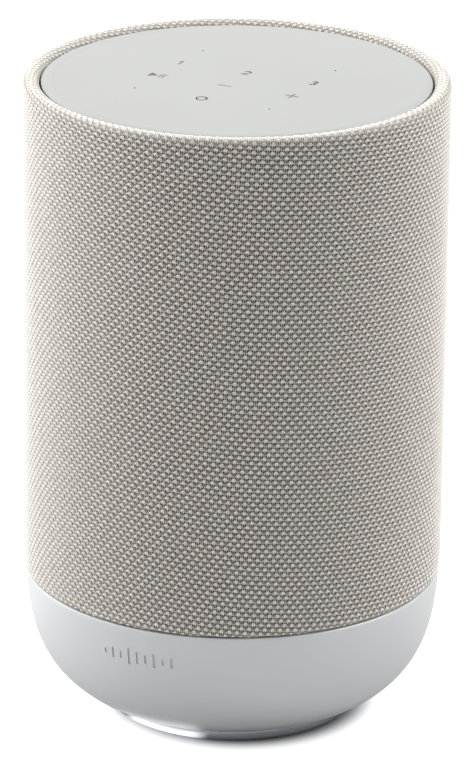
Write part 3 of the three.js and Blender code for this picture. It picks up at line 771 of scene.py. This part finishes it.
def touch_marks(material, face):
    """The printed marks: three numbered keys, play and pause, minus, plus, and a ring."""
    left, right = -KEY_X, KEY_X
    pitch = (MIC_BACK - MIC_FRONT) / 3
    back, middle, front = MIC_BACK - pitch, MIC_BACK - 2 * pitch, MIC_FRONT
    low = face + MARK_LIFT
    lines = {
        "mark_one": [[(left - 0.75 * MM, back + MM), (left + 0.1 * MM, back + 1.8 * MM),
                      (left + 0.1 * MM, back - 1.8 * MM)]],
        "mark_two": [arc_points(0, back + 0.75 * MM, 1.05 * MM, 165, -40, 10)
                     + [(-1.15 * MM, back - 1.8 * MM), (1.2 * MM, back - 1.8 * MM)]],
        "mark_three": [arc_points(right, back + 0.88 * MM, 0.9 * MM, 150, -90, 10)
                       + arc_points(right, back - 0.9 * MM, 0.9 * MM, 90, -150, 10)],
        "mark_minus": [[(-2.3 * MM, middle), (2.3 * MM, middle)]],
        "mark_plus": [[(right - 2.3 * MM, middle), (right + 2.3 * MM, middle)],
                      [(right, middle - 2.3 * MM), (right, middle + 2.3 * MM)]],
        "mark_ring": [arc_points(0, front, 1.75 * MM, 0, 360, 36)],
        "mark_pause": [[(x, middle - 1.7 * MM), (x, middle + 1.7 * MM)]
                       for x in (left + 1.1 * MM, left + 2.3 * MM)],
    }
    plates = {}
    for name, shape in lines.items():
        plates[name] = [plate for line in shape for plate in stroke_meshes(line, low)]
    x = left - 1.4 * MM
    corners = [(x - 1.5 * MM, middle - 2 * MM), (x + 1.6 * MM, middle), (x - 1.5 * MM, middle + 2 * MM)]
    arrow = filleted([(*corner, 0.15 * MM) for corner in corners], 3)
    plates["mark_play"] = [plate_mesh(arrow, low)]
    for name, parts in plates.items():
        verts, faces = [], []
        for more, added in parts:
            faces += [[i + len(verts) for i in face] for face in added]
            verts += more
        piece = finish_mesh(name, plain_mesh(name, verts, faces), material)
        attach(piece, "speaker")


# Base
BOWL_WALL = 2.4 * MM
LEDGE_R, LEDGE_THICK, FLOOR_HOLE_R = 62 * MM, 2 * MM, 30 * MM
TRAY_GAP = 0.3 * MM  # round the connector tray, in the bowl's opening
BAR_HEIGHTS = (0.30, 0.62, 0.42, 1.0, 0.72, 0.5, 0.84, 0.36, 0.58)  # shares of the tallest bar
BAR_PITCH, BAR_WIDTH, TALLEST_BAR, BAR_DEPTH = 3.1 * MM, 0.85 * MM, 6.2 * MM, 0.35 * MM
BARS_Z = SEAM_Z - 10.6 * MM
RING_HOLE_R = 38.2 * MM
GROOVES, GROOVE_DEPTH = ((24 * MM, 26 * MM), (29.5 * MM, 31.5 * MM)), 0.35 * MM


def bowl_material():
    material, tree, principled = shader(
        "bowl_paint", (0.515, 0.522, 0.53), 0.36, 0.35, Specular_IOR_Level=0.5,
    )
    flakes = noise(tree, 7000, 2)
    drift = noise(tree, 30, 2, (1, 1, 0.25))
    paint(tree, principled, blend_colours(tree, flakes, (0.498, 0.506, 0.514), (0.532, 0.54, 0.548)))
    drive(tree, principled, "Roughness", drift * 0.07 + 0.33)
    bump(tree, principled, flakes, 0.000006)
    return material


def tray_middle():
    return (TRAY_LOW.z + TRAY_HIGH.z) / 2


def bowl_shell(material):
    """The bowl: a shell with the connector opening at the back and a row of sunken bars at the front."""
    top, floor = BOWL_HIGH.z, BOWL_LOW.z + BOWL_WALL
    ledge_low = top - LEDGE_THICK
    outer = outline_below(top - 0.35 * MM, 72)
    edge = [(outer[0][0] - 0.35 * MM, top), (outer[0][0] - 0.1 * MM, top - 0.12 * MM)]
    start = outline_place(ledge_low - 4 * MM)
    end = outline_place(BOWL_LOW.z + 3 * MM)
    inner = []
    for k in range(25):
        t = start + (end - start) * k / 24
        r, z = outline_point(t)
        r2, z2 = outline_point(t + 1e-4)
        along = Vector((r2 - r, z2 - z)).normalized()
        inner.append((r + BOWL_WALL * along.y, z - BOWL_WALL * along.x))
    outline = [(LEDGE_R, top), *edge, *outer, (FLOOR_HOLE_R, BOWL_LOW.z), (FLOOR_HOLE_R, floor),
               (FOOT_R - 2 * MM, floor), *inner[::-1], (LEDGE_R, ledge_low)]
    half_w = TRAY_HIGH.x + TRAY_GAP
    half_h = (TRAY_HIGH.z - TRAY_LOW.z) / 2 + TRAY_GAP
    opening = extruded_mesh(rounded_box(half_w, half_h, 3.3 * MM, 0, tray_middle()), 40 * MM, 75 * MM)
    mesh = boolean("bowl", turned_mesh(outline, 288), [opening, *bar_tools()])
    fitted("bowl", mesh, material, "base_bowl", sharp=28)


def bar_tools():
    """Upright rounded bars of different heights, bent to the bowl's front, as cutting solids."""
    tools = []
    for i, share in enumerate(BAR_HEIGHTS):
        x = (i - (len(BAR_HEIGHTS) - 1) / 2) * BAR_PITCH
        half = max(TALLEST_BAR * share / 2, BAR_WIDTH / 2 + 0.05 * MM)
        outline = rounded_box(BAR_WIDTH / 2, half, BAR_WIDTH / 2 * 0.98, x, BARS_Z, 5)
        verts = []
        for reach in (-BAR_DEPTH, 3 * MM):
            for px, pz in oriented(outline):
                r = bowl_radius(pz) + reach
                a = px / OUTER_R
                verts.append((r * math.sin(a), -r * math.cos(a), pz))
        tools.append((verts, prism_faces(len(outline))))
    return tools


def foot_pieces(metal, rubber):
    low, high = RING_LOW.z, RING_HIGH.z
    outline = filleted([
        (RING_HOLE_R, low, 0.3 * MM), (FOOT_R - 0.1 * MM, low, 0.9 * MM),
        (FOOT_R - 0.05 * MM, high, 0.25 * MM), (RING_HOLE_R, high, 0.2 * MM),
    ], 8)
    fitted("foot_trim", plain_mesh("trim", *turned_mesh(outline, 256)), metal, "foot_ring")

    r, top = PAD_HIGH.x, PAD_HIGH.z
    outline = [(0, 0)]
    for start, end in GROOVES:
        slope = 0.4 * MM
        outline += [(start, 0), (start + slope, GROOVE_DEPTH), (end - slope, GROOVE_DEPTH), (end, 0)]
    outline += filleted([(34 * MM, 0, 0), (r, 0, 0.6 * MM), (r, top, 0.25 * MM), (0, top, 0)])
    fitted("foot_sole", plain_mesh("sole", *turned_mesh(outline, 160)), rubber, "foot_pad")


# Connector recess at the back. Places are the middles of what stands in it
TRAY_BACK, TRAY_RIM = 2 * MM, 1.6 * MM  # thickness of the tray's back wall and side walls
INLET_Z, INLET_PIN_X = 25.5 * MM, 4.3 * MM
AUX_X, USB_X, PORT_Z = -16.4 * MM, 16.6 * MM, 24.5 * MM
BUTTON_X, SWITCH_X, CONTROL_Z = -14 * MM, 11.5 * MM, 38 * MM
SWITCH_TRAVEL = 2.6 * MM
IO_SCREW_X, IO_SCREW_Z = 19.8 * MM, 31.6 * MM
WOOFER_AT = Vector((0, -0.039, 0.104))


def recess(dark):
    """The tray, cut to the bowl's shape, with a hole for each connector. Gives its back wall's y."""
    half_w, half_h = TRAY_HIGH.x, (TRAY_HIGH.z - TRAY_LOW.z) / 2
    face = TRAY_LOW.y + TRAY_BACK
    block = extruded_mesh(rounded_box(half_w, half_h, 3 * MM, 0, tray_middle()), TRAY_LOW.y, 74 * MM)
    pocket = extruded_mesh(
        rounded_box(half_w - TRAY_RIM, half_h - TRAY_RIM, 1.8 * MM, 0, tray_middle()), face, 76 * MM
    )
    holes = [
        rounded_box(9.3 * MM, 6 * MM, 2 * MM, 0, INLET_Z),
        circle(3.2 * MM, AUX_X, PORT_Z),
        rounded_box(4.8 * MM, 1.95 * MM, 1.9 * MM, USB_X, PORT_Z),
        circle(4.0 * MM, BUTTON_X, CONTROL_Z, 40),
        rounded_box(3.8 * MM, 1.6 * MM, 0.3 * MM, SWITCH_X + SWITCH_TRAVEL / 2, CONTROL_Z),
        circle(1.3 * MM, -IO_SCREW_X, IO_SCREW_Z, 20),
        circle(1.3 * MM, IO_SCREW_X, IO_SCREW_Z, 20),
    ]
    cuts = [extruded_mesh(hole, face - 4 * MM, face + 3 * MM) for hole in holes]
    mesh = boolean("recess_cut", block, [pocket, *cuts])
    top = SEAM_Z + 5 * MM
    skin = [(r - 0.25 * MM, z) for r, z in outline_below(top, 48)]
    bowl_space = turned_mesh([(0, top), *skin, (0, BOWL_LOW.z)], 256)
    mesh = boolean("recess_tray", mesh_parts(mesh), [bowl_space], "INTERSECT")
    fitted("recess_tray", mesh, dark, "rear_io_panel", sharp=30)
    return face


def figure_eight(grow):
    """The outline of the inlet's socket: two lobes joined by a waist, larger all round by a distance."""
    half, lobe, waist = 3 * MM, 4.1 * MM + grow, 3.5 * MM + grow
    meet = math.degrees(math.asin(waist / lobe))
    right = arc_points(half, 0, lobe, meet - 180, 180 - meet, 20)
    left = arc_points(-half, 0, lobe, meet, 360 - meet, 20)
    return [(x, INLET_Z + z) for x, z in right + left]


def tapered_box(half_width, half_height, corner, x, z, stages, steps=6):
    """Points and faces of a rounded box along Y, drawn in by the inset of each (inset, y) stage."""
    return stacked_mesh([
        (rounded_box(half_width - inset, half_height - inset, corner - inset, x, z, steps), y)
        for inset, y in stages
    ])


def profile(face, *points):
    """A (radius, y) outline from points in mm, with y counted from the tray's face."""
    return [(r * MM, face + y * MM) for r, y in points]


def mains_inlet(looks, face):
    front, back, socket_end = face + 1.4 * MM, 38 * MM, 41 * MM
    body = extruded_mesh(rounded_box(9 * MM, 5.7 * MM, 1.7 * MM, 0, INLET_Z), back, front - 0.5 * MM)
    flange = tapered_box(10.3 * MM, 6.8 * MM, 2.5 * MM, 0, INLET_Z, [
        (0, face + 0.3 * MM), (0, front - 0.35 * MM), (0.12 * MM, front - 0.12 * MM), (0.4 * MM, front),
    ])
    joined = boolean("inlet_joined", body, [flange], "UNION")
    socket = stacked_mesh([
        (figure_eight(0), socket_end), (figure_eight(0), front - 0.5 * MM),
        (figure_eight(0.5 * MM), front + 0.02 * MM), (figure_eight(0.5 * MM), front + MM),
    ])
    drill = [(0, back - MM), (1.5 * MM, back - MM), (1.5 * MM, socket_end + MM), (0, socket_end + MM)]
    holes = [lathe_back(drill, x, INLET_Z, 32) for x in (-INLET_PIN_X, INLET_PIN_X)]
    mesh = boolean("inlet", mesh_parts(joined), [socket, *holes])
    fitted("inlet_shell", mesh, looks["dark_plastic"], "power_inlet", sharp=28)
    r, start, tip = 1.2 * MM, back - 4 * MM, front - 2.6 * MM
    outline = [(0, start), (r, start), (r, tip - 0.7 * MM), (0.94 * r, tip - 0.35 * MM),
               (0.75 * r, tip - 0.13 * MM), (0.4 * r, tip - 0.02 * MM), (0, tip)]
    for side, x in (("left", -INLET_PIN_X), ("right", INLET_PIN_X)):
        mesh = plain_mesh("pin", *lathe_back(outline, x, INLET_Z, 32))
        fitted(f"inlet_blade_{side}", mesh, looks["steel"], f"inlet_pin_{side}")


def line_socket(steel, face):
    outline = profile(
        face, (0, -12.7), (2.9, -12.7), (2.9, 0.3), (3.9, 0.3), (3.9, 0.75), (3.82, 0.92), (3.65, 1.0),
        (2.25, 1.0), (1.95, 0.88), (1.8, 0.6), (1.8, -10.7), (0, -10.7),
    )
    fitted("line_socket", plain_mesh("line", *lathe_back(outline, AUX_X, PORT_Z, 64)), steel, "aux_jack")


def usb_port(looks, face):
    back = face - 6.7 * MM
    shell = tapered_box(4.5 * MM, 1.65 * MM, 1.6 * MM, USB_X, PORT_Z, [
        (0, back - MM), (0, face + 0.05 * MM), (0.12 * MM, face + 0.2 * MM),
    ], 8)
    mouth = extruded_mesh(rounded_box(4.15 * MM, 1.3 * MM, 1.25 * MM, USB_X, PORT_Z, 8), back, face + MM)
    fitted("usb_shell", boolean("usb", shell, [mouth]), looks["steel"], "usb_c_port", sharp=40)
    full = rounded_box(3.3 * MM, 0.35 * MM, 0.12 * MM, USB_X, PORT_Z, 3)
    tip = rounded_box(3.1 * MM, 0.23 * MM, 0.12 * MM, USB_X, PORT_Z, 3)
    tongue = stacked_mesh([(full, back + 0.3 * MM), (full, face - MM), (tip, face - 0.8 * MM)])
    fitted("usb_tongue", plain_mesh("tongue", *tongue), looks["dark_plastic"], "usb_c_tongue")


def io_screws(steel, face):
    outline = profile(
        face, (0, -8.7), (1, -8.7), (1, 0.3), (2.1, 0.3), (2.1, 0.85), (2.0, 1.08), (1.7, 1.25),
        (1.1, 1.36), (0, 1.4),
    )
    for side, x in (("left", -IO_SCREW_X), ("right", IO_SCREW_X)):
        arms = [
            rounded_box(w, h, 0.12 * MM, x, IO_SCREW_Z, 3)
            for w, h in ((1.25 * MM, 0.27 * MM), (0.27 * MM, 1.25 * MM))
        ]
        cross = [extruded_mesh(arm, face + 0.7 * MM, face + 2 * MM) for arm in arms]
        mesh = boolean("screw", lathe_back(outline, x, IO_SCREW_Z, 40), cross)
        fitted(f"io_fixing_{side}", mesh, steel, f"io_screw_{side}", sharp=28)


def pairing_button(plastic, face):
    outline = profile(
        face, (0, -4.2), (4.8, -4.2), (4.8, -2.3), (3.7, -2.3), (3.7, 0.75), (3.6, 1.02), (3.35, 1.17),
        (3.1, 1.2), (2.4, 1.08), (1.2, 0.94), (0, 0.9),
    )
    mesh = plain_mesh("button", *lathe_back(outline, BUTTON_X, CONTROL_Z, 56))
    fitted("button_cap", mesh, plastic, "pairing_button", "pairing_button_cap")


def mute_switch(plastic, face):
    """A sliding knob with five grooves, on a wider foot behind the tray's wall."""
    behind, proud = face - 2.3 * MM, face + 1.2 * MM
    x, z = SWITCH_X, CONTROL_Z
    foot = extruded_mesh(rounded_box(4 * MM, 2.4 * MM, 0.3 * MM, x, z, 3), behind - 1.5 * MM, behind)
    knob = tapered_box(2.2 * MM, 1.3 * MM, 0.35 * MM, x, z, [
        (0, behind - MM), (0, proud - 0.3 * MM), (0.1 * MM, proud - 0.08 * MM), (0.28 * MM, proud),
    ], 4)
    joined = boolean("knob_joined", foot, [knob], "UNION")
    lines = [rounded_box(0.14 * MM, 2 * MM, 0.1 * MM, x + k * 0.6 * MM, z, 2) for k in range(-2, 3)]
    grooves = [extruded_mesh(line, proud - 0.3 * MM, proud + MM) for line in lines]
    mesh = boolean("knob", mesh_parts(joined), grooves)
    fitted("switch_knob", mesh, plastic, "mute_switch", "mute_switch_knob", 28)


# Woofer: the two rings that hold its cone
def flexing_ring(name, outline, segments, material, node):
    """A ring about the woofer's axis, standing in for a CAD node."""
    verts, faces = turned_mesh([(r * MM, z * MM) for r, z in outline], segments)
    verts = [(a, WOOFER_AT.y - c, WOOFER_AT.z + b) for a, b, c in verts]
    piece = finish_mesh(name, plain_mesh(name, verts, faces), material, 50)
    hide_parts(node)
    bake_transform(piece)


def woofer_suspension(looks):
    steps = np.linspace(0, math.pi, 19)
    roll = [(36.6 + 3.4 * math.cos(a), 3.9 + 3.4 * math.sin(a)) for a in steps]
    under = [(36.6 + 2.8 * math.cos(a), 3.7 + 2.8 * math.sin(a)) for a in steps[::-1]]
    outline = [(42.8, 3.7), (42.8, 4.3), *roll, (30.5, 4.3), (30.5, 3.7), *under]
    flexing_ring("surround_roll", outline, 96, looks["seal_rubber"], "woofer_surround")

    places = np.linspace(14, 31.4, 61)
    wave = 0.4 * (1 - np.cos((places - 14) * (2 * math.pi * 2.5 / 17.4)))
    outline = [(r, h - 13.6) for r, h in zip(places, wave)]
    outline += [(r, h - 14.1) for r, h in zip(places[::-1], wave[::-1])]
    flexing_ring("spider_waves", outline, 96, looks["spider_cloth"], "woofer_spider")


def dress_frame(looks):
    """Each CAD node that still shows gets the material of its slot."""
    for name, slot in SLOTS.items():
        node = frame["nodes"][name]
        node.data.materials.clear()
        node.data.materials.append(looks[slot])


# Light and floor
FLOOR_Z, FLOOR_R = -0.05 * MM, 6  # a little below the foot pad's underside
SHADOW_SHIFT = 3 * MM  # the foot's soft shadow falls a little to the right
# The ring's highlight is a painted reflection, mirrored from a patch of floor that glows for reflected rays
# only
SHEET_TURN = -36  # where the ring mirrors a sheet of light, in degrees from the camera's side
WORLD_LIGHT = 0.585
LIT_PLACE = (0, 0, 0.12)
# Degrees from the camera's side, distance, height, width and depth, power
SOFTBOXES = {
    "back_left": (-118, 1.0, 0.5, (0.8, 1.0), 13.5),
    "left": (-80, 1.0, 0.75, (0.8, 0.9), 12.5),
    "back_right": (118, 1.0, 0.9, (0.7, 0.9), 17),
    "right": (72, 1.0, 0.35, (0.7, 0.7), 4.5),
    "top": (160, 0.5, 1.3, (1.2, 1.0), 2.5),
}


def around_camera(turn, distance, height):
    """A place at an angle in degrees from the camera's side of the speaker, to the right if positive."""
    a = math.radians(CAMERA_TURN + turn)
    return (distance * math.sin(a), -distance * math.cos(a), height)


def softbox(name, turn, distance, height, size, power):
    data = bpy.data.lights.new(name, "AREA")
    data.shape, data.size, data.size_y = "RECTANGLE", *size
    data.energy = power
    light = bpy.data.objects.new(name, data)
    scene.collection.objects.link(light)
    light.location = around_camera(turn, distance, height)
    light.rotation_euler = (Vector(LIT_PLACE) - light.location).to_track_quat("-Z", "Y").to_euler()


def floor_material():
    """Pale ground with a painted shadow round the foot, that glows to the camera, and beside the foot glows
    for reflected rays only as a painted reflection.
    """
    material, tree, principled = shader("floor_white", (0.55, 0.55, 0.55), 0.8, Emission_Color=(1, 1, 1, 1))
    x, y, _ = components(tree, place(tree))
    middle = Vector(around_camera(90, SHADOW_SHIFT, 0))
    from_foot = ((x - middle.x).square() + (y - middle.y).square()).math("SQRT")
    # Painted shadow: the floor is darkened round the foot, and its glow to the camera fades there too
    painted_shadow = from_foot.ramp(FOOT_R + 14 * MM, FOOT_R - 2 * MM) * 0.7
    tone = blend_colours(tree, noise(tree, 3, 2), (0.44, 0.44, 0.44), (0.46, 0.46, 0.46))
    paint(tree, principled, blend_colours(tree, painted_shadow, tone, (0.16, 0.165, 0.18)))
    glow = from_foot.ramp(FOOT_R - 4 * MM, FOOT_R + 6 * MM) * 0.86
    # Painted reflection: beside the foot on the left the floor glows for reflected rays only, so the ring
    # shows a highlight
    left = Vector(around_camera(SHEET_TURN, 1, 0))
    facing = (x * left.x + y * left.y) / (x.square() + y.square()).math("SQRT")
    beside_foot = from_foot.ramp(FOOT_R + 12 * MM, FOOT_R + 6 * MM)
    painted_reflection_sheet = facing.ramp(0.90, 0.97) * beside_foot * 1.4
    seen = tree.nodes.new("ShaderNodeLightPath")
    camera_ray, glossy_ray = (Field(tree, seen.outputs[f"Is {kind} Ray"]) for kind in ("Camera", "Glossy"))
    drive(tree, principled, "Emission Strength", glow * camera_ray + painted_reflection_sheet * glossy_ray)
    return material


def studio():
    verts, faces = turned_mesh([(0, FLOOR_Z), (FLOOR_R, FLOOR_Z)], 96, closed=False)
    finish_mesh("floor", plain_mesh("floor", verts, faces), floor_material())
    world = bpy.data.worlds.new("studio")
    scene.world = world
    world.use_nodes = True
    background = world.node_tree.nodes["Background"]
    background.inputs["Color"].default_value = (1, 1, 1, 1)
    background.inputs["Strength"].default_value = WORLD_LIGHT
    for name, (turn, distance, height, size, power) in SOFTBOXES.items():
        softbox(f"softbox_{name}", turn, distance, height, size, power)
    scene.view_settings.view_transform = "Standard"


make_camera()
LOOKS = {
    "panel_plastic": panel_material(),
    "grille_fabric": fabric_material(),
    "bowl_paint": bowl_material(),
    "polished_ring": turned_metal(),
    "foot_rubber": moulded("foot_rubber", (0.035, 0.035, 0.038), 0.8),
    "seal_rubber": moulded("seal_rubber", (0.02, 0.02, 0.021), 0.7),
    "dark_plastic": moulded("dark_plastic", (0.028, 0.028, 0.030), 0.5, 0.00003),
    "inner_plastic": moulded("inner_plastic", (0.19, 0.19, 0.195), 0.5),
    "steel": brushed("steel", (0.56, 0.565, 0.57), 0.3, (1, 14, 1)),
    "brass": brushed("brass", (0.72, 0.54, 0.26), 0.28, (1, 1, 12)),
    "aluminium": brushed("aluminium", (0.66, 0.67, 0.68), 0.36, (1, 14, 1)),
    "ferrite": moulded("ferrite", (0.035, 0.034, 0.036), 0.75, 0.00008, 0.2),
    "circuit_board": moulded("circuit_board", (0.012, 0.09, 0.045), 0.38, 0.00001, spread=0.25),
    "cone_paper": moulded("cone_paper", (0.03, 0.03, 0.032), 0.85, 0.00012, scale=1500),
    "dome_silk": moulded("dome_silk", (0.055, 0.05, 0.047), 0.65, 0.00005, Sheen_Weight=0.3),
    "spider_cloth": moulded("spider_cloth", (0.52, 0.34, 0.13), 0.85, 0.0001, scale=1800),
    "copper": brushed("copper", (0.72, 0.36, 0.18), 0.3, (1, 20, 1)),
}
PRINT = moulded("panel_print", (0.085, 0.087, 0.09), 0.6, 0.000005)
dress_frame(LOOKS)
woven_cover(LOOKS["grille_fabric"])
face_z = top_panel(LOOKS["panel_plastic"])
touch_marks(PRINT, face_z)
bowl_shell(LOOKS["bowl_paint"])
foot_pieces(LOOKS["polished_ring"], LOOKS["foot_rubber"])
io_face = recess(LOOKS["dark_plastic"])
mains_inlet(LOOKS, io_face)
line_socket(LOOKS["steel"], io_face)
usb_port(LOOKS, io_face)
io_screws(LOOKS["steel"], io_face)
pairing_button(LOOKS["inner_plastic"], io_face)
mute_switch(LOOKS["inner_plastic"], io_face)
woofer_suspension(LOOKS)
studio()
